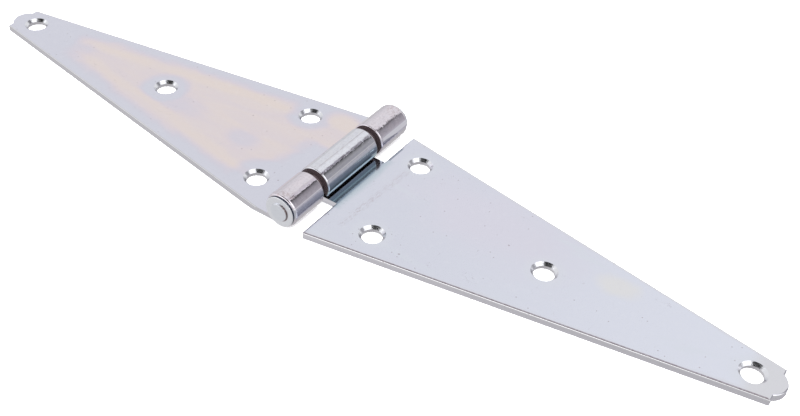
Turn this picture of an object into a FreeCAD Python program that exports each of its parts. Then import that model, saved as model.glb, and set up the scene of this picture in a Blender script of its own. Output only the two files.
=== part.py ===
# Double strap hinge: two tapered straps joined by one riveted pin.
# Frame: millimetres, +X along the right strap, Y along the pin, +Z up.
# Origin: on the plane of the strap backs, straight below the middle of the pin.
# The hinge lies open flat, countersunk side up.
import FreeCAD, Part
import os
import Sketcher
from FreeCAD import Vector, Placement, Rotation

os.makedirs("parts", exist_ok=True)
doc = FreeCAD.newDocument("strap_hinge")

# ---------------------------------------------------------------- dimensions
# alias, value, what it is
DIMENSIONS = [
    ("sheetThk", 2.4, "thickness of the strap sheet"),
    ("barrelRad", 6.0, "outside radius of the rolled knuckles"),
    ("boreRad", 3.6, "inside radius of the rolled knuckles"),
    ("pinRad", 3.55, "radius of the pin shank"),
    ("freeEndAngle", 27.0, "how far the rolled end passes below the pin's level, degrees"),
    ("strapReach", 152.1, "pin axis to the shoulders of the nose"),
    ("tipHalf", 7.0, "half width of the strap at its shoulders"),
    ("noseHalf", 4.8, "half width of the nose where it leaves the shoulders"),
    ("noseRise", 2.6, "how far the nose stands beyond the shoulders"),
    ("rootHalf", 31.3, "half width of the left leaf at its knuckles"),
    ("rootRun", 10.6, "pin axis to where the left leaf starts to taper"),
    ("innerHalf", 31.55, "half width of the right leaf at its inner edge"),
    ("innerEdge", 8.9, "pin axis to the inner edge of the right leaf"),
    ("cornerRad", 0.5, "rounding of the right leaf's two inner corners"),
    ("tongueHalf", 13.65, "half width of the centre knuckle and its tongue"),
    ("slotHalf", 16.15, "half width of the slot in the left leaf"),
    ("slotDepth", 9.4, "pin axis to the end of the slot"),
    ("axialShift", 0.55, "how far the right leaf, and the slot it turns in, sits towards -Y"),
    ("holeFarX", 144.5, "pin axis to the hole near the nose"),
    ("holeMidX", 77.7, "pin axis to the middle hole"),
    ("holeOutX", 26.6, "pin axis to the outer hole of the staggered pair"),
    ("holeOutY", 18.65, "its distance from the centreline"),
    ("holeInX", 19.5, "pin axis to the inner hole of the staggered pair"),
    ("holeInY", 19.65, "its distance from the centreline"),
    ("holeDia", 6.75, "screw hole diameter"),
    ("sinkDia", 8.7, "countersink diameter at the face"),
    ("sinkAngle", 90.0, "countersink angle, degrees"),
    ("breakRise", 0.55, "height of the flared break-out at the back of each screw hole"),
    ("breakOut", 0.35, "how far the break-out widens the hole's radius at the back"),
    ("edgeRoll", 0.5, "rollover radius on the upper edges of the straps"),
    ("knuckleRoll", 0.55, "rounding on the knuckle edges at the gaps"),
    ("endRoll", 0.9, "rounding on the knuckle edges at the two ends of the barrel"),
    ("headRad", 5.4, "radius of the pin's formed heads"),
    ("headThk", 0.8, "thickness of the formed heads"),
    ("discRad", 3.1, "radius of the raised disc on each head"),
    ("discRise", 0.5, "height of the raised disc"),
    ("headRound", 0.3, "rounding of the head's rim"),
    ("discRound", 0.2, "rounding of the disc's rim"),
]
sheet = doc.addObject("Spreadsheet::Sheet", "Dims")
DIM = {}
for row, (alias, value, note) in enumerate(DIMENSIONS, start=2):
    sheet.set("A%d" % row, note)
    sheet.set("B%d" % row, str(value))
    sheet.setAlias("B%d" % row, alias)
    DIM[alias] = value
sheet.set("A1", "dimension, mm unless the note says degrees")
doc.recompute()


def val(term):
    """Number of a coordinate given as a list of (factor, alias) terms."""
    return sum(k * DIM[a] for k, a in term)


def expr(term):
    """Spreadsheet expression of the same coordinate."""
    return " + ".join("(%g) * Dims.%s" % (k, a) for k, a in term) if term else "0"


def plane(body, role):
    return [f for f in body.Origin.OriginFeatures if f.Role == role][0]


def new_sketch(body, name, role):
    sk = body.newObject("Sketcher::SketchObject", name)
    sk.AttachmentSupport = [(plane(body, role), "")]
    sk.MapMode = "FlatFace"
    return sk


def hold(sk, geo, pos, px, py):
    """Hold one point of a sketch at a sheet-driven place."""
    for kind, axis_geo, term in (("DistanceX", -2, px), ("DistanceY", -1, py)):
        if term:
            i = sk.addConstraint(Sketcher.Constraint(kind, -1, 1, geo, pos, val(term)))
            sk.setExpression("Constraints[%d]" % i, expr(term))
        else:
            sk.addConstraint(Sketcher.Constraint("PointOnObject", geo, pos, axis_geo))


def closed_outline(sk, points, arcs=None):
    """Closed chain of lines through points; arcs = {i: (rise term)} bows side i outwards."""
    arcs = arcs or {}
    n = len(points)
    P = [Vector(val(x), val(y), 0) for x, y in points]
    ids = []
    for i in range(n):
        a, b = P[i], P[(i + 1) % n]
        if i in arcs:
            mid = Vector(arcs[i][0], arcs[i][1], 0)
            ids.append(sk.addGeometry(Part.Arc(a, mid, b), False))
        else:
            ids.append(sk.addGeometry(Part.LineSegment(a, b), False))

    def ends(i):
        """(start, end) vertex numbers of side i, in the direction of travel."""
        if i in arcs:
            g = sk.Geometry[ids[i]]
            return (1, 2) if g.StartPoint.distanceToPoint(P[i]) < 1e-6 else (2, 1)
        return (1, 2)

    for i in range(n):
        j = (i + 1) % n
        sk.addConstraint(Sketcher.Constraint("Coincident", ids[i], ends(i)[1], ids[j], ends(j)[0]))
    for i in range(n):
        hold(sk, ids[i], ends(i)[0], points[i][0], points[i][1])
    return ids


def bind(obj, prop, expression):
    obj.setExpression(prop, expression)


def curl_profile(sk, side):
    """Section of a rolled knuckle with the flat sheet that leads into it.
    side = +1: the sheet comes from +X, passes under the pin, round -X and over the top.
    side = -1: the mirror image."""
    import math
    R, r, t = DIM["barrelRad"], DIM["boreRad"], DIM["sheetThk"]
    a = math.radians(DIM["freeEndAngle"])
    cx = Vector(0, R, 0)
    up = Vector(0, 0, 1)
    run = DIM["innerEdge"] if side > 0 else DIM["rootRun"]
    run_alias = "innerEdge" if side > 0 else "rootRun"
    if side > 0:
        lo, hi = -a, 1.5 * math.pi
    else:
        lo, hi = -0.5 * math.pi, math.pi + a
    outer = sk.addGeometry(Part.ArcOfCircle(Part.Circle(cx, up, R), lo, hi), False)
    inner = sk.addGeometry(Part.ArcOfCircle(Part.Circle(cx, up, r), lo, hi), False)
    free, root = (1, 2) if side > 0 else (2, 1)
    fa = lo if side > 0 else hi
    p_in = cx + Vector(r * math.cos(fa), r * math.sin(fa), 0)
    p_out = cx + Vector(R * math.cos(fa), R * math.sin(fa), 0)
    end = sk.addGeometry(Part.LineSegment(p_in, p_out), False)
    bottom = sk.addGeometry(Part.LineSegment(Vector(0, 0, 0), Vector(side * run, 0, 0)), False)
    wall = sk.addGeometry(Part.LineSegment(Vector(side * run, 0, 0), Vector(side * run, t, 0)), False)
    top = sk.addGeometry(Part.LineSegment(Vector(side * run, t, 0), Vector(0, t, 0)), False)
    C = Sketcher.Constraint
    sk.addConstraint(C("Coincident", bottom, 1, -1, 1))
    sk.addConstraint(C("Coincident", bottom, 2, wall, 1))
    sk.addConstraint(C("Coincident", wall, 2, top, 1))
    hold(sk, wall, 1, [(side, run_alias)], [])
    hold(sk, wall, 2, [(side, run_alias)], [(1, "sheetThk")])
    hold(sk, top, 2, [], [(1, "sheetThk")])
    hold(sk, outer, 3, [], [(1, "barrelRad")])
    sk.addConstraint(C("Coincident", inner, 3, outer, 3))
    sk.addConstraint(C("Coincident", outer, root, bottom, 1))
    sk.addConstraint(C("Coincident", inner, root, top, 2))
    sk.addConstraint(C("Coincident", end, 1, inner, free))
    sk.addConstraint(C("Coincident", end, 2, outer, free))
    sk.addConstraint(C("PointOnObject", outer, 3, end))
    # the rolled end stops below the level of the pin's axis
    i = sk.addConstraint(C("DistanceY", outer, free, outer, 3, R * math.sin(a)))
    sk.setExpression("Constraints[%d]" % i, "Dims.barrelRad * sin(Dims.freeEndAngle * 1 deg)")


def screw_holes(body, side):
    """Two holes on the centreline and a staggered pair at the wide end, countersunk from above.
    The left leaf carries the same pattern turned half a turn about Z."""
    sk = new_sketch(body, body.Name + "_hole_centres", "XY_Plane")
    sk.setExpression("AttachmentOffset.Base.z", "Dims.sheetThk")
    off = [(-1, "axialShift")] if side > 0 else []
    places = [
        ([(side, "holeFarX")], off),
        ([(side, "holeMidX")], off),
        ([(side, "holeOutX")], [(-side, "holeOutY")] + off),
        ([(side, "holeInX")], [(side, "holeInY")] + off),
    ]
    first = None
    for px, py in places:
        g = sk.addGeometry(Part.Circle(Vector(val(px), val(py), 0), Vector(0, 0, 1), DIM["holeDia"] / 2), False)
        hold(sk, g, 3, px, py)
        if first is None:
            i = sk.addConstraint(Sketcher.Constraint("Diameter", g, DIM["holeDia"]))
            sk.setExpression("Constraints[%d]" % i, "Dims.holeDia")
            first = g
        else:
            sk.addConstraint(Sketcher.Constraint("Equal", first, g))
    doc.recompute()
    hole = body.newObject("PartDesign::Hole", body.Name + "_screw_holes")
    hole.Profile = sk
    doc.recompute()
    hole.ThreadType = 0
    hole.Threaded = False
    hole.DepthType = "ThroughAll"
    hole.HoleCutType = "Countersink"
    hole.HoleCutCustomValues = True
    bind(hole, "Diameter", "Dims.holeDia")
    bind(hole, "HoleCutDiameter", "Dims.sinkDia")
    bind(hole, "HoleCutCountersinkAngle", "Dims.sinkAngle")
    doc.recompute()
    # the punch tears out wider at the back of the sheet
    flare = body.newObject("PartDesign::Chamfer", body.Name + "_hole_breakout")

    def back_rim(e):
        c = e.Curve
        return level(e, 0.0) and hasattr(c, "Radius") and abs(c.Radius - DIM["holeDia"] / 2) < 1e-3

    flare.Base = (hole, edge_names(hole.Shape, back_rim))
    flare.ChamferType = "Two distances"
    bind(flare, "Size", "Dims.breakOut")
    bind(flare, "Size2", "Dims.breakRise")
    doc.recompute()
    return flare


def pad(body, name, sk, length, midplane=False):
    f = body.newObject("PartDesign::Pad", name)
    f.Profile = sk
    f.Refine = True
    bind(f, "Length", length)
    f.Midplane = midplane
    doc.recompute()
    return f


def edge_names(shape, test):
    return ["Edge%d" % (i + 1) for i, e in enumerate(shape.Edges) if test(e)]


def rounding(body, name, base, names, radius):
    f = body.newObject("PartDesign::Fillet", name)
    f.Base = (base, names)
    bind(f, "Radius", radius)
    doc.recompute()
    return f


def level(e, z, tol=1e-4):
    bb = e.BoundBox
    return abs(bb.ZMin - z) < tol and abs(bb.ZMax - z) < tol


T = DIM["sheetThk"]

# ---------------------------------------------------------------- right leaf
right = doc.addObject("PartDesign::Body", "right_leaf")
right.Label = "right_leaf"
sk = new_sketch(right, "right_outline", "XY_Plane")
reach, tip, nose = [(1, "strapReach")], "tipHalf", "noseHalf"
off = [(-1, "axialShift")]
closed_outline(sk, [
    ([(1, "innerEdge")], [(-1, "innerHalf")] + off),
    (reach, [(-1, tip)] + off),
    (reach, [(-1, nose)] + off),
    (reach, [(1, nose)] + off),
    (reach, [(1, tip)] + off),
    ([(1, "innerEdge")], [(1, "innerHalf")] + off),
], arcs={2: (DIM["strapReach"] + DIM["noseRise"], -DIM["axialShift"])})
# the nose bows out by noseRise: chord 2*noseHalf, so its radius follows
nose_id = 2
i = sk.addConstraint(Sketcher.Constraint("Radius", nose_id, (DIM["noseHalf"] ** 2 + DIM["noseRise"] ** 2) / (2 * DIM["noseRise"])))
sk.setExpression("Constraints[%d]" % i, "(Dims.noseHalf ^ 2 + Dims.noseRise ^ 2) / (2 * Dims.noseRise)")
doc.recompute()
plate = pad(right, "right_plate", sk, "Dims.sheetThk")
# rounded inner corners, before the tongue is added
corner = edge_names(plate.Shape, lambda e: abs(e.BoundBox.XMin - DIM["innerEdge"]) < 1e-4 and abs(e.BoundBox.XMax - DIM["innerEdge"]) < 1e-4 and e.BoundBox.ZLength > T * 0.9)
plate = rounding(right, "right_corners", plate, corner, "Dims.cornerRad")
sk = new_sketch(right, "right_curl_section", "XZ_Plane")
curl_profile(sk, +1)
sk.setExpression("AttachmentOffset.Base.z", "Dims.axialShift")
doc.recompute()
curl = pad(right, "right_knuckle", sk, "2 * Dims.tongueHalf", midplane=True)
holes_r = screw_holes(right, +1)

# ---------------------------------------------------------------- left leaf
left = doc.addObject("PartDesign::Body", "left_leaf")
left.Label = "left_leaf"
sk = new_sketch(left, "left_outline", "XY_Plane")
closed_outline(sk, [
    ([], [(1, "rootHalf")]),
    ([(-1, "rootRun")], [(1, "rootHalf")]),
    ([(-1, "strapReach")], [(1, tip)]),
    ([(-1, "strapReach")], [(1, nose)]),
    ([(-1, "strapReach")], [(-1, nose)]),
    ([(-1, "strapReach")], [(-1, tip)]),
    ([(-1, "rootRun")], [(-1, "rootHalf")]),
    ([], [(-1, "rootHalf")]),
], arcs={3: (-DIM["strapReach"] - DIM["noseRise"], 0.0)})
i = sk.addConstraint(Sketcher.Constraint("Radius", 3, (DIM["noseHalf"] ** 2 + DIM["noseRise"] ** 2) / (2 * DIM["noseRise"])))
sk.setExpression("Constraints[%d]" % i, "(Dims.noseHalf ^ 2 + Dims.noseRise ^ 2) / (2 * Dims.noseRise)")
doc.recompute()
plate = pad(left, "left_plate", sk, "Dims.sheetThk")
sk = new_sketch(left, "left_curl_section", "XZ_Plane")
curl_profile(sk, -1)
doc.recompute()
curl = pad(left, "left_knuckles", sk, "2 * Dims.rootHalf", midplane=True)
# the slot that the centre knuckle turns in, cut through the roll and the root of the strap
sk = new_sketch(left, "left_slot_outline", "XY_Plane")
closed_outline(sk, [
    ([(-1, "slotDepth")], [(-1, "slotHalf"), (-1, "axialShift")]),
    ([(2, "barrelRad")], [(-1, "slotHalf"), (-1, "axialShift")]),
    ([(2, "barrelRad")], [(1, "slotHalf"), (-1, "axialShift")]),
    ([(-1, "slotDepth")], [(1, "slotHalf"), (-1, "axialShift")]),
])
doc.recompute()
before = left.Shape.Volume
slot = left.newObject("PartDesign::Pocket", "left_slot")
slot.Profile = sk
slot.Type = 1
slot.Midplane = True
doc.recompute()
if not left.Shape.Volume < before - 100:
    raise RuntimeError("the slot cut nothing")
holes_l = screw_holes(left, -1)

# ---------------------------------------------------------------- hinge pin
pin = doc.addObject("PartDesign::Body", "hinge_pin")
pin.Label = "hinge_pin"
sk = new_sketch(pin, "pin_half_section", "YZ_Plane")
e0 = [(1, "rootHalf")]
e1 = e0 + [(1, "headThk")]
e2 = e1 + [(1, "discRise")]


def neg(term):
    return [(-k, a) for k, a in term]


closed_outline(sk, [
    (neg(e2), []),
    (e2, []),
    (e2, [(1, "discRad")]),
    (e1, [(1, "discRad")]),
    (e1, [(1, "headRad")]),
    (e0, [(1, "headRad")]),
    (e0, [(1, "pinRad")]),
    (neg(e0), [(1, "pinRad")]),
    (neg(e0), [(1, "headRad")]),
    (neg(e1), [(1, "headRad")]),
    (neg(e1), [(1, "discRad")]),
    (neg(e2), [(1, "discRad")]),
])
doc.recompute()
turned = pin.newObject("PartDesign::Revolution", "pin_turned")
turned.Profile = sk
turned.ReferenceAxis = (sk, ["H_Axis"])
turned.Angle = 360
doc.recompute()


def rim(e, radius, y):
    c = e.Curve
    return hasattr(c, "Radius") and abs(c.Radius - radius) < 1e-4 and abs(abs(e.BoundBox.Center.y) - y) < 1e-4


y1 = DIM["rootHalf"] + DIM["headThk"]
f = rounding(pin, "head_rims", turned, edge_names(turned.Shape, lambda e: rim(e, DIM["headRad"], y1)), "Dims.headRound")
f = rounding(pin, "disc_rims", f, edge_names(f.Shape, lambda e: rim(e, DIM["discRad"], y1 + DIM["discRise"])), "Dims.discRound")
pin.setExpression("Placement.Base.z", "Dims.barrelRad")
doc.recompute()

# ---------------------------------------------------------------- edge rounding on the leaves


def knuckle_rims(shape, at_ends):
    """Outer circular edges of the knuckles: at the two ends of the barrel, or at the gaps."""
    def test(e):
        c = e.Curve
        if not (hasattr(c, "Radius") and abs(c.Radius - DIM["barrelRad"]) < 1e-4 and e.BoundBox.YLength < 1e-4):
            return False
        return (abs(abs(e.BoundBox.Center.y) - DIM["rootHalf"]) < 1e-4) == at_ends
    return edge_names(shape, test)


def strap_rims(shape, side):
    """Upper outline of the strap beyond the knuckles, without the screw holes."""
    def test(e):
        if not level(e, T):
            return False
        c = e.Curve
        if hasattr(c, "Radius") and abs(c.Radius - DIM["sinkDia"] / 2) < 1e-3:
            return False
        bb = e.BoundBox
        x0 = min(side * bb.XMin, side * bb.XMax)
        return x0 > DIM["innerEdge"] - 1e-4 if side > 0 else x0 > DIM["rootRun"] - 1e-4
    return edge_names(shape, test)


for body, side in ((right, +1), (left, -1)):
    base = body.Tip
    f = rounding(body, body.Name + "_knuckle_rims", base, knuckle_rims(base.Shape, False), "Dims.knuckleRoll")
    if side < 0:
        f = rounding(body, body.Name + "_barrel_ends", f, knuckle_rims(f.Shape, True), "Dims.endRoll")
    f = rounding(body, body.Name + "_strap_rims", f, strap_rims(f.Shape, side), "Dims.edgeRoll")
doc.recompute()

# ---------------------------------------------------------------- checks and export
for o in doc.Objects:
    if "Invalid" in o.State or "Error" in o.State:
        raise RuntimeError("%s failed: %s" % (o.Name, o.State))
for body in (left, right, pin):
    shape = body.Shape
    if shape.isNull() or not shape.isValid() or len(shape.Solids) != 1:
        raise RuntimeError("%s has no single valid solid" % body.Label)
    shape.exportStep("parts/%s.step" % body.Label)
    bb = shape.BoundBox
    print("%s volume %.1f mm3, box %.2f..%.2f %.2f..%.2f %.2f..%.2f" % (
        body.Label, shape.Volume, bb.XMin, bb.XMax, bb.YMin, bb.YMax, bb.ZMin, bb.ZMax))
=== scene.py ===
import math

import bpy
from mathutils import Matrix, Vector

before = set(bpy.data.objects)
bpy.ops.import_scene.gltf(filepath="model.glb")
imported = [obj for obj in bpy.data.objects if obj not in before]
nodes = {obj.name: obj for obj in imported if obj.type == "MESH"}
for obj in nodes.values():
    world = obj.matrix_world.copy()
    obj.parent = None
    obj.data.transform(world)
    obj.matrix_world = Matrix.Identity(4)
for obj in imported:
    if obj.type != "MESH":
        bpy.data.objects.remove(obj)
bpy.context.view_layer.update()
scene = bpy.context.scene
MM = 0.001


# ------------------------------------------------------------------ node helpers
class Net:
    """Short way to write a shader network."""

    def __init__(self, tree):
        self.t = tree
        self.t.nodes.clear()

    def new(self, kind, **props):
        n = self.t.nodes.new(kind)
        for k, v in props.items():
            setattr(n, k, v)
        return n

    def put(self, socket, value):
        if isinstance(value, bpy.types.NodeSocket):
            self.t.links.new(value, socket)
        elif value is not None:
            if hasattr(socket.default_value, "__len__") and not hasattr(value, "__len__"):
                value = (value,) * len(socket.default_value)
            if hasattr(value, "__len__") and len(value) == 3 and len(socket.default_value) == 4:
                value = tuple(value) + (1.0,)
            socket.default_value = value

    def math(self, op, a, b=None, c=None, clamp=False):
        n = self.new("ShaderNodeMath", operation=op, use_clamp=clamp)
        for s, v in zip(n.inputs, (a, b, c)):
            self.put(s, v)
        return n.outputs[0]

    def add(self, a, b): return self.math("ADD", a, b)
    def sub(self, a, b): return self.math("SUBTRACT", a, b)
    def mul(self, a, b): return self.math("MULTIPLY", a, b)
    def div(self, a, b): return self.math("DIVIDE", a, b)
    def absv(self, a): return self.math("ABSOLUTE", a)
    def mx(self, a, b): return self.math("MAXIMUM", a, b)
    def mn(self, a, b): return self.math("MINIMUM", a, b)

    def step(self, x, lo, hi):
        """0 below lo, 1 above hi, smooth between; lo may be above hi."""
        n = self.new("ShaderNodeMapRange", interpolation_type="SMOOTHSTEP")
        flip = lo > hi
        for s, v in zip(n.inputs, (x, min(lo, hi), max(lo, hi), 1.0 if flip else 0.0, 0.0 if flip else 1.0)):
            self.put(s, v)
        return n.outputs[0]

    def length(self, *parts):
        total = None
        for p in parts:
            q = self.mul(p, p)
            total = q if total is None else self.add(total, q)
        return self.math("SQRT", total)

    def mix(self, f, a, b, mode="MIX"):
        n = self.new("ShaderNodeMix", data_type="RGBA", blend_type=mode, clamp_factor=True)
        self.put(n.inputs[0], f)
        self.put(n.inputs[6], a)
        self.put(n.inputs[7], b)
        return n.outputs[2]

    def lerp(self, f, a, b):
        n = self.new("ShaderNodeMix", data_type="FLOAT", clamp_factor=True)
        self.put(n.inputs[0], f)
        self.put(n.inputs[2], a)
        self.put(n.inputs[3], b)
        return n.outputs[0]

    def vec(self, x, y, z):
        n = self.new("ShaderNodeCombineXYZ")
        for s, v in zip(n.inputs, (x, y, z)):
            self.put(s, v)
        return n.outputs[0]

    def xyz(self, v):
        n = self.new("ShaderNodeSeparateXYZ")
        self.put(n.inputs[0], v)
        return n.outputs[0], n.outputs[1], n.outputs[2]

    def scaled(self, v, s, loc=(0, 0, 0)):
        n = self.new("ShaderNodeMapping")
        self.put(n.inputs["Vector"], v)
        self.put(n.inputs["Location"], loc)
        self.put(n.inputs["Scale"], s)
        return n.outputs[0]

    def noise(self, v, scale, detail=3.0, rough=0.55, warp=0.0):
        n = self.new("ShaderNodeTexNoise")
        self.put(n.inputs["Vector"], v)
        n.inputs["Scale"].default_value = scale
        n.inputs["Detail"].default_value = detail
        n.inputs["Roughness"].default_value = rough
        n.inputs["Distortion"].default_value = warp
        return n.outputs[0]

    def cells(self, v, scale, feature="F1", rand=1.0):
        n = self.new("ShaderNodeTexVoronoi", feature=feature)
        self.put(n.inputs["Vector"], v)
        n.inputs["Scale"].default_value = scale
        n.inputs["Randomness"].default_value = rand
        return n

    def ramp(self, x, stops, interp="LINEAR"):
        n = self.new("ShaderNodeValToRGB")
        n.color_ramp.interpolation = interp
        el = n.color_ramp.elements
        while len(el) < len(stops):
            el.new(0.5)
        for e, (p, c) in zip(el, sorted(stops)):
            e.position = p
            e.color = (c, c, c, 1) if not hasattr(c, "__len__") else tuple(c) + (1,)
        self.put(n.inputs[0], x)
        return n.outputs[0]

    def bump(self, height, distance, strength=1.0, normal=None):
        n = self.new("ShaderNodeBump")
        n.inputs["Strength"].default_value = strength
        n.inputs["Distance"].default_value = distance
        self.put(n.inputs["Height"], height)
        if normal is not None:
            self.put(n.inputs["Normal"], normal)
        return n.outputs[0]


def metal(name):
    """A material with a metallic shader, its net, and object-space coordinates in millimetres."""
    mat = bpy.data.materials.new(name)
    mat.use_nodes = True
    n = Net(mat.node_tree)
    out = n.new("ShaderNodeOutputMaterial")
    b = n.new("ShaderNodeBsdfPrincipled")
    b.inputs["Metallic"].default_value = 1.0
    n.t.links.new(b.outputs[0], out.inputs[0])
    tc = n.new("ShaderNodeTexCoord")
    mm = n.scaled(tc.outputs["Object"], (1000.0, 1000.0, 1000.0))
    return mat, n, b, mm


# ------------------------------------------------------------------ camera
AZ, EL, ROLL = math.radians(30.93), math.radians(40.28), math.radians(4.79)
DIST, TARGET, FOCAL_PX = 0.35842, Vector((0.02494, -0.00096, 0.0)), 1104.5
back = Vector((math.sin(AZ) * math.cos(EL), -math.cos(AZ) * math.cos(EL), math.sin(EL)))
right = Vector((math.cos(AZ), math.sin(AZ), 0.0))
up = back.cross(right)
cam_right = math.cos(ROLL) * right + math.sin(ROLL) * up
cam_up = -math.sin(ROLL) * right + math.cos(ROLL) * up
cam_data = bpy.data.cameras.new("camera")
cam_data.sensor_width = 36.0
cam_data.lens = FOCAL_PX / 800.0 * 36.0
cam_data.clip_start, cam_data.clip_end = 0.01, 50.0
cam = bpy.data.objects.new("camera", cam_data)
scene.collection.objects.link(cam)
m = Matrix((cam_right, cam_up, back)).transposed().to_4x4()
m.translation = TARGET + back * DIST
cam.matrix_world = m
scene.camera = cam

# ------------------------------------------------------------------ floor
me = bpy.data.meshes.new("floor")
S = 8.0
me.from_pydata([(-S, -S, 0), (S, -S, 0), (S, S, 0), (-S, S, 0)], [], [(0, 1, 2, 3)])
floor = bpy.data.objects.new("floor", me)
floor.location.z = -0.00003
floor.visible_glossy = False                         # the metal mirrors the studio's own lower half instead
scene.collection.objects.link(floor)
fm = bpy.data.materials.new("floor")
fm.use_nodes = True
fb = fm.node_tree.nodes["Principled BSDF"]
fb.inputs["Base Color"].default_value = (0.92, 0.92, 0.925, 1)
fb.inputs["Roughness"].default_value = 0.9
fb.inputs["Specular IOR Level"].default_value = 0.1
fb.inputs["Emission Color"].default_value = (1.0, 1.0, 1.0, 1)
fb.inputs["Emission Strength"].default_value = 0.20      # a lit table top, so the object throws almost no shadow
me.materials.append(fm)

# ------------------------------------------------------------------ studio light
world = bpy.data.worlds.new("studio")
scene.world = world
world.use_nodes = True
w = Net(world.node_tree)
out = w.new("ShaderNodeOutputWorld")
bg = w.new("ShaderNodeBackground")
w.t.links.new(bg.outputs[0], out.inputs[0])
sky = w.new("ShaderNodeTexCoord").outputs["Generated"]
dx, dy, dz = w.xyz(sky)
DEG = 180.0 / math.pi
az = w.mul(w.math("ARCTAN2", dy, dx), DEG)
el = w.mul(w.math("ARCSINE", dz), DEG)
phi = w.mul(w.math("ARCTAN2", dz, dx), DEG)
# the gap between two large soft boxes: darkest at its top, lighter towards the floor
dim = w.ramp(w.div(phi, 100.0), [
    (0.00, 0.56), (0.05, 0.56), (0.10, 0.50), (0.15, 0.46), (0.20, 0.44), (0.30, 0.42), (0.40, 0.37),
    (0.48, 0.31), (0.54, 0.22), (0.60, 0.12), (0.64, 0.05), (0.66, 0.90), (0.90, 1.0)])
az_hi = w.add(w.add(58.0, w.mul(w.mx(w.sub(el, 30.0), 0.0), 0.55)), w.mul(w.mx(w.sub(el, 40.0), 0.0), 0.95))
gap = w.mul(w.step(az, 22.0, 32.0), w.step(w.sub(az, az_hi), 2.0, -2.0))
# soft box on the right, brighter than the rest
box_r = w.mul(w.mul(w.step(az, -46.0, -36.0), w.step(az, 26.0, 16.0)), w.mul(w.step(el, 10.0, 26.0), w.step(el, 74.0, 62.0)))
level = w.lerp(box_r, 0.90, 1.60)
# low strip behind the object, where the backdrop falls away
low = w.mul(w.mul(w.step(az, 70.0, 82.0), w.step(az, 178.0, 168.0)), w.step(el, 9.0, 2.0))
level = w.lerp(low, level, 0.74)
level = w.lerp(gap, level, dim)
# low and bright on the camera's side: the lit table front
front = w.mul(w.mul(w.step(az, -165.0, -145.0), w.step(az, -70.0, -86.0)), w.mul(w.step(el, 0.0, 3.0), w.step(el, 33.0, 29.0)))
level = w.lerp(front, level, 1.55)
below = w.step(el, 0.0, -1.5)
level = w.lerp(below, level, w.lerp(w.step(dx, -0.25, -0.05), 0.74, 0.58))
# the dark of the camera and whoever holds it: a wide low blot on the camera's side
mott = w.noise(sky, 9.0, 3.0, 0.6)
blot = w.mul(w.mul(w.step(az, -142.0, -130.0), w.step(az, -44.0, -52.0)), w.mul(w.step(el, 33.0, 38.0), w.step(el, 64.0, 58.0)))
level = w.lerp(blot, level, w.lerp(w.step(mott, 0.50, 0.66), 0.02, 0.16))
w.put(bg.inputs["Color"], w.mix(gap, (0.985, 0.99, 1.0), (0.97, 0.96, 1.03)))
w.put(bg.inputs["Strength"], level)

# overhead soft light for the floor only: it keeps the floor pale under the dim side of the room
key_data = bpy.data.lights.new("soft_key", "AREA")
key_data.shape = "DISK"
key_data.size = 3.6
key_data.energy = 190.0
key = bpy.data.objects.new("soft_key", key_data)
key.location = (0.1, -0.6, 2.2)
key.rotation_mode = "QUATERNION"
key.rotation_quaternion = (-Vector(key.location)).to_track_quat("-Z", "Y")
key.visible_glossy = False
scene.collection.objects.link(key)
scene.view_settings.view_transform = "Standard"

# ------------------------------------------------------------------ sizes of the frame, in mm
AXIS_Z = 6.0
SHEET = 2.4
TAPER = 0.1718
SHIFT = {"right_leaf": -0.55, "left_leaf": 0.0}         # the right leaf sits a little towards -Y
PATTERN = [(144.5, 0.0), (77.7, 0.0), (26.6, -18.65), (19.5, 19.65)]
HOLES = {"right_leaf": [(x, y + SHIFT["right_leaf"]) for x, y in PATTERN], "left_leaf": [(-x, -y) for x, y in PATTERN]}


def hole_dist(n, x, y, holes):
    """Distance to the centre of the nearest screw hole."""
    near = None
    for hx, hy in holes:
        d = n.length(n.sub(x, hx), n.sub(y, hy))
        near = d if near is None else n.mn(near, d)
    return near


def blob(n, x, y, cx, cy, rx, ry, soft, wob):
    """1 inside a soft oval, its outline pushed about by wob."""
    d = n.length(n.div(n.sub(x, cx), rx), n.div(n.sub(y, cy), ry))
    return n.step(n.add(d, wob), 1.0 + soft, 1.0 - soft)


def fine_wear(n, mm, seed):
    """Hairlines and specks, each 0 to 1."""
    p = n.scaled(mm, (1, 1, 1), (seed, seed * 0.7, seed * 1.3))
    total = None
    for k, (scale, sx, sy, warp, width) in enumerate(((1.0, 0.060, 0.110, 0.9, 0.0016), (1.0, 0.10, 0.05, 1.6, 0.0016))):
        src = n.noise(n.scaled(p, (sx, sy, 0.1), (k * 5.0, 0, 0)), scale, 3.0, 0.55, warp)
        line = n.step(n.absv(n.sub(src, 0.5)), width, width * 0.3)
        where = n.step(n.noise(p, 0.10 + 0.03 * k, 2.0, 0.6), 0.56, 0.62)
        line = n.mul(line, where)
        total = line if total is None else n.mx(total, line)
    specks = None
    for scale, keep, size in ((0.42, 0.72, 0.12), (0.16, 0.70, 0.085)):
        c = n.cells(p, scale)
        big = n.math("GREATER_THAN", n.xyz(c.outputs["Color"])[0], keep)
        s = n.mul(n.step(c.outputs["Distance"], size, size * 0.45), big)
        specks = s if specks is None else n.mx(specks, s)
    return total, specks


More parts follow.
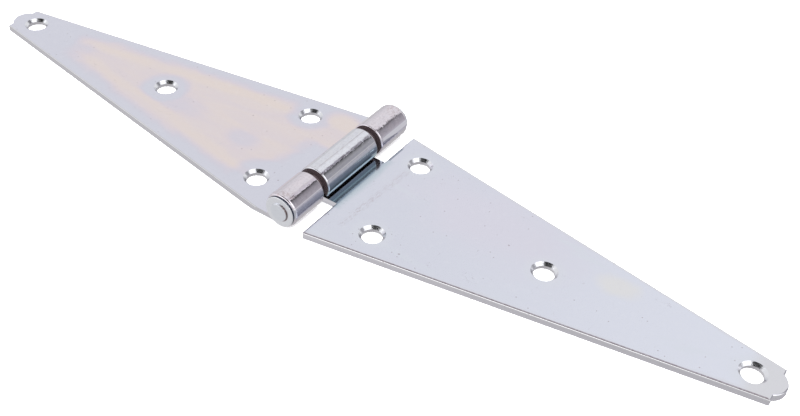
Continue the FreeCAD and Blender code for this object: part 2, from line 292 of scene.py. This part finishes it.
def zinc(name, warm):
    """Bright zinc plating over rolled sheet; warm = a leaf with yellow and pink film on it."""
    mat, n, b, mm = metal(name)
    x, y, z = n.xyz(mm)
    ax = n.length(x, n.sub(z, AXIS_Z))
    on_roll = n.step(ax, 7.4, 6.2)
    holes = HOLES["left_leaf" if warm else "right_leaf"]
    near = hole_dist(n, x, y, holes)
    xx = n.absv(x)
    half = n.sub(31.33 + 10.6 * TAPER, n.mul(xx, TAPER))
    across = n.sub(y, SHIFT["left_leaf" if warm else "right_leaf"])
    edge = n.mul(n.sub(half, n.absv(across)), 0.985)    # mm in from the nearest long edge
    wob = n.sub(n.noise(mm, 0.055, 3.0, 0.55, 0.6), 0.5)
    wob2 = n.sub(n.noise(n.scaled(mm, (1, 1, 1), (40, 11, 0)), 0.035, 3.0, 0.5, 0.4), 0.5)
    flow = n.noise(n.scaled(mm, (0.020, 0.085, 0.05), (3.1, 1.7, 0)), 1.0, 3.0, 0.55, 0.9)
    fine = n.noise(mm, 0.55, 4.0, 0.6)
    if warm:
        # film thickness u: 0 blue, then lilac, pink, gold
        core = n.step(n.add(edge, n.mul(wob, 6.0)), 2.2, 8.0)
        core = n.mul(core, n.step(n.add(xx, n.mul(wob2, 26.0)), 127.0, 114.0))
        core = n.mul(core, n.lerp(n.step(n.add(xx, n.mul(wob, 10.0)), 22.0, 15.0), 1.0, n.step(n.add(y, n.mul(wob2, 30.0)), 4.0, 12.0)))
        u = n.mul(core, 0.74)
        u = n.add(u, n.mul(core, n.mul(n.sub(flow, 0.5), 0.65)))
        u = n.add(u, n.mul(n.mul(n.step(n.absv(n.sub(edge, n.add(9.5, n.mul(wob, 5.0)))), 3.6, 0.4), core), 0.22))
        u = n.sub(u, n.mul(blob(n, x, y, -70.0, -4.0, 12.0, 5.0, 0.55, wob), 0.34))
        u = n.sub(u, n.mul(blob(n, x, y, -37.0, -6.5, 6.0, 4.5, 0.6, wob), 0.40))
        u = n.sub(u, n.mul(blob(n, x, y, -88.0, 8.0, 4.0, 7.0, 0.6, wob), 0.10))
        u = n.sub(u, n.mul(n.step(n.add(near, n.mul(wob, 5.0)), 10.5, 5.5), 0.70))
        u = n.mx(u, n.mul(blob(n, x, y, -14.0, 22.0, 7.0, 5.0, 0.5, wob), 0.95))
        col = n.ramp(u, [
            (0.00, (0.705, 0.708, 0.790)), (0.20, (0.715, 0.695, 0.775)), (0.42, (0.750, 0.700, 0.765)),
            (0.62, (0.790, 0.712, 0.742)), (0.80, (0.815, 0.730, 0.722)), (1.00, (0.835, 0.740, 0.700))])
    else:
        run = n.step(xx, 8.0, 150.0)
        base = n.mix(run, (0.722, 0.735, 0.822), (0.782, 0.803, 0.893))
        cloud = n.mul(blob(n, x, y, 54.0, 8.0, 27.0, 15.0, 0.6, n.mul(wob, 1.4)), 0.9)
        col = n.mix(cloud, base, (0.758, 0.744, 0.835))
        col = n.mix(n.mul(n.step(flow, 0.54, 0.72), 0.45), col, (0.745, 0.785, 0.842))
        col = n.mix(n.mul(blob(n, x, y, 99.0, 7.0, 6.0, 4.6, 0.45, n.mul(wob, 1.4)), 0.8), col, (0.815, 0.805, 0.800))
        rim = n.step(n.add(edge, n.mul(wob, 3.0)), 1.8, 0.4)
        col = n.mix(n.mul(rim, 0.5), col, (0.735, 0.735, 0.785))
        halo = n.step(n.add(near, n.mul(wob, 3.0)), 8.0, 4.8)
        col = n.mix(n.mul(halo, 0.35), col, (0.765, 0.790, 0.840))
        tip_end = n.step(n.add(xx, n.mul(wob, 6.0)), 141.0, 147.0)
        col = n.mix(n.mul(tip_end, 0.8), col, (0.740, 0.735, 0.760))
    # painted light along the rolled-over near edge of the sheet: a painted highlight on the right leaf, a painted dark
    # line on the left leaf
    near_rim_painted_light = n.mul(n.step(edge, 0.40, 0.22), n.step(y, 0.0, -1.0))
    col = n.mix(n.mul(near_rim_painted_light, n.sub(1.0, on_roll)), col, (0.60, 0.595, 0.615) if warm else (0.93, 0.92, 0.94))
    # the roll: pinkish or neutral on top; painted shade makes it bluer and duller down its right flank
    theta = n.mul(n.math("ARCTAN2", n.sub(z, AXIS_Z), x), DEG)
    if warm:
        col = n.mix(on_roll, col, n.mix(n.step(fine, 0.35, 0.65), (0.795, 0.737, 0.785), (0.768, 0.724, 0.778)))
        # painted reflection: a dark band 60-74° round the near knuckle
        near_knuckle_painted_dark_band = n.mul(n.mul(n.step(theta, 60.0, 63.0), n.step(theta, 74.0, 67.0)), n.step(y, 5.0, -5.0))
        col = n.mix(n.mul(n.mul(near_knuckle_painted_dark_band, on_roll), 0.42), col, (0.42, 0.38, 0.39))
        # painted reflection tone: a darker band across the top of the roll
        crown_painted_tone = n.mul(n.step(theta, 86.0, 111.0), n.step(theta, 126.0, 117.0))
        col = n.mix(n.mul(n.mul(crown_painted_tone, on_roll), 0.85), col, (0.655, 0.618, 0.672))
        # painted shade: a bluer tone down the roll's right flank
        flank_painted_shade = n.mul(on_roll, n.mul(n.step(theta, 33.0, 20.0), n.step(theta, -12.0, 4.0)))
        col = n.mix(n.mul(flank_painted_shade, n.lerp(n.step(y, -5.0, 5.0), 0.75, 0.35)), col, (0.660, 0.700, 0.790))
    else:
        col = n.mix(on_roll, col, n.mix(n.step(fine, 0.35, 0.65), (0.755, 0.757, 0.800), (0.735, 0.745, 0.810)))
        # painted reflection tone: a lighter band across the top of the roll
        crown_painted_tone = n.mul(n.step(theta, 66.0, 70.0), n.step(theta, 84.0, 79.0))
        col = n.mix(n.mul(n.mul(crown_painted_tone, on_roll), 0.8), col, (0.845, 0.855, 0.915))
        # painted shade: dark blue down the roll's right flank
        flank_painted_shade = n.mul(on_roll, n.step(theta, 29.5, 13.0))
        flank_painted_shade = n.mul(flank_painted_shade, n.step(theta, -40.0, -20.0))
        col = n.mix(flank_painted_shade, col, (0.285, 0.375, 0.455))
        # painted reflection of the roll in the plate beside it: a teal band
        root_painted_reflection = n.mul(n.step(n.add(x, n.mul(wob, 3.0)), 12.6, 9.6), n.mul(n.step(x, 5.0, 7.0), n.step(n.absv(across), 16.5, 14.5)))
        col = n.mix(n.mul(root_painted_reflection, 0.75), col, (0.520, 0.610, 0.670))
    lines, specks = fine_wear(n, mm, 11.0 if warm else 4.0)
    col = n.mix(n.mul(n.step(fine, 0.5, 0.8), 0.10), col, (0.92, 0.92, 0.95))
    col = n.mix(n.mul(lines, 0.30), col, (0.36, 0.30, 0.34))
    col = n.mix(n.mul(specks, 0.45), col, (0.30, 0.23, 0.25))
    # a greyer band with brown grit specks along the far edge, a painted dark line just inside the near edge
    grit = n.noise(mm, 1.3, 3.0, 0.7)
    flat = n.sub(1.0, on_roll)
    far_rim = n.mul(n.mul(n.step(edge, 1.3, 0.5), n.step(y, 0.0, 1.0)), flat)
    col = n.mix(n.mul(far_rim, 0.75), col, (0.715, 0.700, 0.735) if warm else (0.765, 0.755, 0.780))
    far_line = n.mul(n.mul(n.step(edge, 0.75, 0.25), n.step(y, 0.0, 1.0)), flat)
    col = n.mix(n.mul(far_line, n.mul(n.step(grit, 0.55, 0.64), 0.75)), col, (0.42, 0.36, 0.36))
    if not warm:
        # painted reflection: a dark line just inside the near edge
        near_edge_painted_line = n.mul(n.mul(n.step(n.absv(n.sub(edge, 0.42)), 0.30, 0.12), n.step(y, 0.0, -1.0)), n.step(xx, 151.9, 151.0))
        col = n.mix(n.mul(near_edge_painted_line, n.lerp(n.step(grit, 0.35, 0.6), 0.85, 0.55)), col, (0.23, 0.17, 0.20))
        # painted shade: dark lines on the top face along the inner edge beside the knuckle, the far one bluish
        inner_near_painted_shade = n.mul(n.step(n.absv(n.sub(x, 9.28)), 0.26, 0.08), n.step(y, -15.0, -15.6))
        inner_far_painted_shade = n.mul(n.step(n.absv(n.sub(x, 9.62)), 0.52, 0.26), n.mul(n.step(y, 14.4, 15.2), n.step(n.add(y, n.mul(wob, 2.0)), 23.4, 22.4)))
        on_top = n.step(z, 1.9, 2.2)
        col = n.mix(n.mul(n.mul(inner_near_painted_shade, on_top), 0.70), col, (0.25, 0.20, 0.25))
        col = n.mix(n.mul(n.mul(inner_far_painted_shade, on_top), 0.72), col, (0.22, 0.26, 0.33))
        # the press line beside the knuckle: short brown strokes along Y
        strokes = n.noise(n.scaled(mm, (5.5, 0.70, 1.0)), 1.0, 5.0, 0.7)
        patches = n.noise(n.scaled(mm, (0.25, 0.22, 1.0), (7, 3, 0)), 1.0, 2.0, 0.5)
        row = n.mul(n.step(n.absv(n.sub(n.add(x, n.mul(y, -0.05)), 17.2)), 1.9, 0.3), n.step(strokes, 0.49, 0.62))
        row = n.mul(n.mul(row, n.step(patches, 0.32, 0.46)), n.mul(n.step(y, -24.0, -18.0), n.step(y, 21.0, 15.0)))
        col = n.mix(n.mul(row, 0.42), col, (0.42, 0.32, 0.33))
    # the back of the sheet is plain plating: the film and the marks are on the upper face only
    back_face = n.mul(n.step(z, 1.4, 0.6), n.sub(1.0, on_roll))
    col = n.mix(back_face, col, n.mix(n.step(flow, 0.40, 0.62), (0.705, 0.712, 0.780), (0.735, 0.738, 0.795)))
    # roll: flecks and draw marks, a painted ragged edge to the dark reflection, painted glints
    turn = n.vec(n.mul(theta, AXIS_Z / DEG), y, 0.0)                 # mm round the roll, mm along it
    mottle = n.noise(n.scaled(turn, (1.3, 0.75, 1.0)), 1.0, 5.0, 0.7)
    col = n.mix(n.mul(on_roll, n.mul(n.step(mottle, 0.46, 0.62), 0.22)), col, (0.44, 0.40, 0.44))
    col = n.mix(n.mul(on_roll, n.mul(n.step(mottle, 0.42, 0.32), 0.16 if warm else 0.07)), col, (1.0, 1.0, 1.0))
    drag = n.noise(n.scaled(turn, (3.0, 0.42, 1.0), (0, 9, 0)), 1.0, 4.0, 0.7)
    flecks_and_painted_edge = n.mul(n.step(drag, 0.66, 0.70), on_roll)
    # painted reflection: dark flecks along the ragged edge of the dark reflection, 56-68° round the roll
    crest_painted_reflection_edge = n.noise(n.scaled(turn, (2.1, 0.60, 1.0), (4, 2, 0)), 1.0, 5.0, 0.72)
    where = n.noise(n.scaled(turn, (0.2, 0.28, 1.0), (9, 2, 0)), 1.0, 2.0, 0.5)
    crest_painted_reflection_edge = n.mul(n.step(n.add(crest_painted_reflection_edge, n.mul(n.sub(where, 0.5), 0.5)), 0.53, 0.58), n.mul(n.step(theta, 56.0, 60.0), n.step(theta, 68.0, 63.5)))
    crest_painted_reflection_edge = n.mul(crest_painted_reflection_edge, on_roll)
    crest_painted_reflection_edge = n.mul(crest_painted_reflection_edge, n.lerp(n.step(y, -5.0, 5.0), 1.0, 0.55))
    flecks_and_painted_edge = n.mx(flecks_and_painted_edge, crest_painted_reflection_edge)
    col = n.mix(n.mul(flecks_and_painted_edge, 0.80), col, (0.085, 0.055, 0.060))
    # painted glints: white specks on the band 34-61° round the roll
    nick_glints = n.noise(n.scaled(turn, (4.5, 1.1, 1.0), (3, 6, 0)), 1.0, 3.0, 0.6)
    nick_glints = n.mul(n.step(nick_glints, 0.63, 0.68), n.mul(n.step(theta, 34.0, 40.0), n.step(theta, 61.0, 56.0)))
    col = n.mix(n.mul(n.mul(nick_glints, on_roll), 0.40), col, (1.0, 1.0, 1.0))
    # brown stain where the roll meets the end of the barrel, painted highlights as light lines along the flanks
    if warm:
        stain_n = n.noise(n.scaled(turn, (0.9, 0.7, 1.0), (1, 8, 0)), 1.0, 4.0, 0.7)
        stain = n.mul(n.mul(n.step(n.absv(y), 25.0, 30.0), n.step(stain_n, 0.46, 0.60)), n.mul(n.step(theta, 50.0, 62.0), n.step(theta, 118.0, 100.0)))
        col = n.mix(n.mul(n.mul(stain, on_roll), 0.42), col, (0.42, 0.31, 0.30))
        painted_highlight_line = n.mul(n.step(n.absv(n.sub(theta, 17.5)), 10.5, 7.0), n.step(y, 16.0, 17.0))
        painted_highlight_line = n.mx(painted_highlight_line, n.mul(n.step(n.absv(n.sub(theta, 29.5)), 1.6, 0.5), n.step(y, -16.0, -17.0)))
        col = n.mix(n.mul(n.mul(painted_highlight_line, on_roll), 0.9), col, (0.98, 0.98, 1.0))
    else:
        # painted highlight: a white line 35° round the roll
        painted_highlight_line = n.step(n.absv(n.sub(theta, 35.0)), 2.2, 0.9)
        col = n.mix(n.mul(n.mul(painted_highlight_line, on_roll), 0.95), col, (1.0, 1.0, 1.0))
        # painted reflection: a dark ragged band 57-67° round the roll
        lip_painted_dark_reflection = n.mul(n.step(theta, 57.0, 60.0), n.step(n.add(theta, n.mul(n.sub(drag, 0.5), 12.0)), 67.5, 64.5))
        lip_painted_dark_reflection = n.mul(lip_painted_dark_reflection, n.step(n.noise(n.scaled(turn, (0.05, 0.45, 1.0), (1, 7, 0)), 1.0, 3.0, 0.6), 0.36, 0.44))
        col = n.mix(n.mul(n.mul(lip_painted_dark_reflection, on_roll), 0.72), col, (0.20, 0.18, 0.21))
        # painted highlight: a lighter band 42-58° round the roll
        lift_painted_highlight = n.mul(n.step(theta, 42.0, 46.0), n.step(theta, 58.0, 55.0))
        col = n.mix(n.mul(n.mul(lift_painted_highlight, on_roll), 0.35), col, (1.0, 1.0, 1.0))
        # painted highlight: a cyan line at the roll's lower edge
        painted_highlight_line = n.step(n.absv(n.sub(theta, -11.0)), 3.2, 1.2)
        col = n.mix(n.mul(n.mul(painted_highlight_line, on_roll), 0.85), col, (0.72, 0.97, 1.0))
        seam = n.mul(n.step(n.absv(n.sub(n.add(theta, n.mul(wob, 4.0)), 86.5)), 2.2, 0.6), n.step(n.noise(n.scaled(turn, (0.2, 0.35, 1.0)), 1.0, 3.0, 0.6), 0.40, 0.52))
        col = n.mix(n.mul(n.mul(seam, on_roll), 0.38), col, (0.40, 0.33, 0.34))
    # painted shade: the rounded rims beside the gaps between knuckles are darkened, more on one side
    rim = n.step(n.absv(n.sub(n.absv(n.sub(y, SHIFT["right_leaf"])), 14.9)), 1.95, 1.65)
    shade_side = n.step(y, 1.0, -1.0) if warm else n.step(y, -1.0, 1.0)
    col = n.mix(n.mul(n.mul(rim, on_roll), n.lerp(shade_side, 0.15, 0.60)), col, (0.45, 0.40, 0.43))
    n.put(b.inputs["Base Color"], col)
    rough = n.lerp(on_roll, 0.12, 0.05)
    rough = n.add(rough, n.mul(n.sub(fine, 0.5), 0.05))
    rough = n.add(rough, n.mul(n.add(lines, n.add(specks, n.add(flecks_and_painted_edge, n.mul(mottle, n.mul(on_roll, 0.06))))), 0.14))
    n.put(b.inputs["Roughness"], rough)
    roll = n.noise(n.scaled(turn, (0.40, 0.40, 1.0), (2, 5, 0)), 1.0, 3.0, 0.42)
    h1 = n.bump(n.mul(roll, on_roll), 0.00006)
    swell = n.noise(mm, 0.11, 2.0, 0.5)
    h2 = n.bump(swell, 0.00006, 1.0, h1)
    pits = n.noise(mm, 3.2, 3.0, 0.6)
    h3 = n.bump(n.sub(n.mul(pits, 0.22), n.mul(n.add(lines, n.add(specks, flecks_and_painted_edge)), 0.6)), 0.000014, 1.0, h2)
    n.put(b.inputs["Normal"], h3)
    return mat


def sheared(name, upper, lower):
    """Punched side face: a burnished strip on top, torn metal below."""
    mat, n, b, mm = metal(name)
    x, y, z = n.xyz(mm)
    streak = n.noise(n.scaled(mm, (1.6, 1.6, 0.25)), 1.0, 4.0, 0.65)
    line = n.add(1.05, n.mul(n.sub(n.noise(mm, 0.35, 3.0), 0.5), 0.7))
    top = n.step(n.sub(z, line), -0.12, 0.12)
    torn = n.mix(streak, tuple(c * 0.90 for c in lower), lower)
    shiny = n.mix(streak, tuple(c * 0.92 for c in upper), upper)
    n.put(b.inputs["Base Color"], n.mix(top, torn, shiny))
    n.put(b.inputs["Roughness"], n.lerp(top, 0.45, 0.30))
    n.put(b.inputs["Normal"], n.bump(streak, 0.00004))
    return mat


def countersink(name):
    """Turned cone of a screw hole."""
    mat, n, b, mm = metal(name)
    x, y, z = n.xyz(mm)
    rings = n.noise(n.vec(n.mul(z, 9.0), 0.0, 0.0), 1.0, 3.0, 0.7)
    blot = n.noise(mm, 2.2, 3.0, 0.6)
    n.put(b.inputs["Base Color"], n.mix(blot, (0.72, 0.72, 0.76), (0.86, 0.87, 0.90)))
    n.put(b.inputs["Roughness"], n.add(0.03, n.mul(rings, 0.06)))
    n.put(b.inputs["Normal"], n.bump(n.add(n.mul(rings, 0.3), blot), 0.00005))
    return mat


def hole_wall(name):
    mat, n, b, mm = metal(name)
    streak = n.noise(n.scaled(mm, (2.2, 2.2, 0.3)), 1.0, 3.0, 0.6)
    n.put(b.inputs["Base Color"], n.mix(streak, (0.62, 0.60, 0.63), (0.76, 0.75, 0.78)))
    n.put(b.inputs["Roughness"], n.add(0.28, n.mul(streak, 0.15)))
    n.put(b.inputs["Normal"], n.bump(streak, 0.00004))
    return mat


def bare_and_shaded_steel(name):
    """Brown-black steel in the gaps and the bores: painted shade in the gaps between knuckles, partly bare unplated
    steel at cut ends.
    """
    mat, n, b, mm = metal(name)
    grain = n.noise(n.scaled(mm, (1.5, 1.5, 1.5)), 1.0, 4.0, 0.6)
    n.put(b.inputs["Base Color"], n.mix(grain, (0.041, 0.028, 0.032), (0.080, 0.058, 0.063)))
    b.inputs["Metallic"].default_value = 0.35
    n.put(b.inputs["Roughness"], n.add(0.50, n.mul(grain, 0.25)))
    n.put(b.inputs["Normal"], n.bump(grain, 0.00008))
    return mat


def pin_head(name):
    """Formed head: hammered face, painted shade as brown darkening on the right part of the step round the raised
    disc.
    """
    mat, n, b, mm = metal(name)
    x, y, z = n.xyz(mm)
    zz = n.sub(z, AXIS_Z)
    ax = n.length(x, zz)
    blot = n.noise(mm, 0.55, 4.0, 0.6)
    disc = n.step(ax, 3.25, 3.0)
    col = n.mix(blot, (0.770, 0.780, 0.830), (0.890, 0.895, 0.920))
    col = n.mix(n.mul(disc, 0.8), col, n.mix(blot, (0.715, 0.735, 0.790), (0.830, 0.850, 0.900)))
    dirt_n = n.noise(mm, 1.5, 3.0, 0.6)
    # painted shade: this mask keeps the brown to the right part of the step
    side = n.step(n.add(n.sub(x, n.mul(n.absv(zz), 0.18)), n.mul(n.sub(dirt_n, 0.5), 2.2)), -0.6, 1.2)
    step_painted_shade = n.mul(n.mul(n.step(n.absv(n.sub(ax, 3.22)), 0.30, 0.10), n.step(dirt_n, 0.30, 0.46)), side)
    col = n.mix(n.mul(step_painted_shade, 0.85), col, (0.20, 0.125, 0.12))
    spots = n.mul(n.step(n.noise(mm, 1.1, 3.0, 0.65), 0.66, 0.72), n.step(ax, 5.0, 4.4))
    col = n.mix(n.mul(spots, 0.4), col, (0.36, 0.33, 0.38))
    n.put(b.inputs["Base Color"], col)
    n.put(b.inputs["Roughness"], n.add(n.add(0.26, n.mul(blot, 0.12)), n.mul(step_painted_shade, 0.2)))
    dents = n.noise(mm, 0.9, 3.0, 0.55)
    n.put(b.inputs["Normal"], n.bump(n.add(n.mul(dents, 1.0), n.mul(blot, 0.8)), 0.00010))
    return mat


def groove_painted_shade(name):
    """Side of a pin head against the knuckle: painted shade, a dark navy colour for the shadow in the groove."""
    mat, n, b, mm = metal(name)
    x, y, z = n.xyz(mm)
    grain = n.noise(mm, 1.2, 4.0, 0.6)
    n.put(b.inputs["Base Color"], n.mix(n.step(grain, 0.56, 0.72), (0.045, 0.055, 0.085), (0.26, 0.28, 0.34)))
    n.put(b.inputs["Roughness"], n.add(0.35, n.mul(grain, 0.2)))
    return mat


# ------------------------------------------------------------------ which face gets which finish
def assign(ob, mats, pick):
    mesh = ob.data
    mesh.materials.clear()
    for mt in mats:
        mesh.materials.append(mt)
    for p in mesh.polygons:
        p.material_index = pick(p.center * 1000.0, p.normal)


def leaf_face(name):
    holes = HOLES[name]
    side = 1 if name == "right_leaf" else -1

    def pick(c, nn):
        ax = math.hypot(c.x, c.z - AXIS_Z)
        for hx, hy in holes:
            d = math.hypot(c.x - hx, c.y - hy)
            if d < 4.45 and c.z > 0.01:
                if 0.5 < nn.z < 0.9:
                    return 2
                if nn.z < 0.3:
                    return 3
        if ax < 3.85 and c.z > SHEET * 0.9:
            return 4                                   # bore
        if ax < 3.85 and abs(c.x) < 3.0:
            return 4
        radial = (nn.x * c.x + nn.z * (c.z - AXIS_Z)) / max(ax, 1e-6)
        in_roll = ax < 6.05 and (side * c.x < 0.2 or c.z > SHEET + 0.05)
        if in_roll and abs(nn.y) > 0.95 and abs(c.y) < 30.0:
            return 4                                   # faces of the gaps between knuckles
        if in_roll and abs(radial) < 0.3 and abs(nn.y) < 0.3 and 3.5 < ax < 6.05 and c.z < 5.5:
            return 4                                   # end of the rolled sheet
        if abs(nn.z) < 0.25 and ax > 6.1:
            return 1                                   # punched outline
        if abs(nn.y) > 0.95 and abs(c.y) < 30.0 and c.z < SHEET:
            return 1
        return 0

    return pick


def pin_face(c, nn):
    ax = math.hypot(c.x, c.z - AXIS_Z)
    if abs(c.y) < 31.15:
        return 1
    return 2 if c.y < 0 and ax > 5.2 and abs(nn.y) < 0.45 else 0


cone, wall, dark = countersink("zinc_countersink"), hole_wall("zinc_hole_wall"), bare_and_shaded_steel("bare_steel_and_painted_shade")
assign(nodes["right_leaf"], [zinc("zinc_cool", False), sheared("cut_edge_cool", (0.80, 0.785, 0.83), (0.78, 0.76, 0.81)), cone, wall, dark], leaf_face("right_leaf"))
assign(nodes["left_leaf"], [zinc("zinc_warm", True), sheared("cut_edge_warm", (0.70, 0.685, 0.72), (0.70, 0.68, 0.715)), cone, wall, dark], leaf_face("left_leaf"))
assign(nodes["hinge_pin"], [pin_head("zinc_pin_head"), dark, groove_painted_shade("pin_groove_painted_shade")], pin_face)
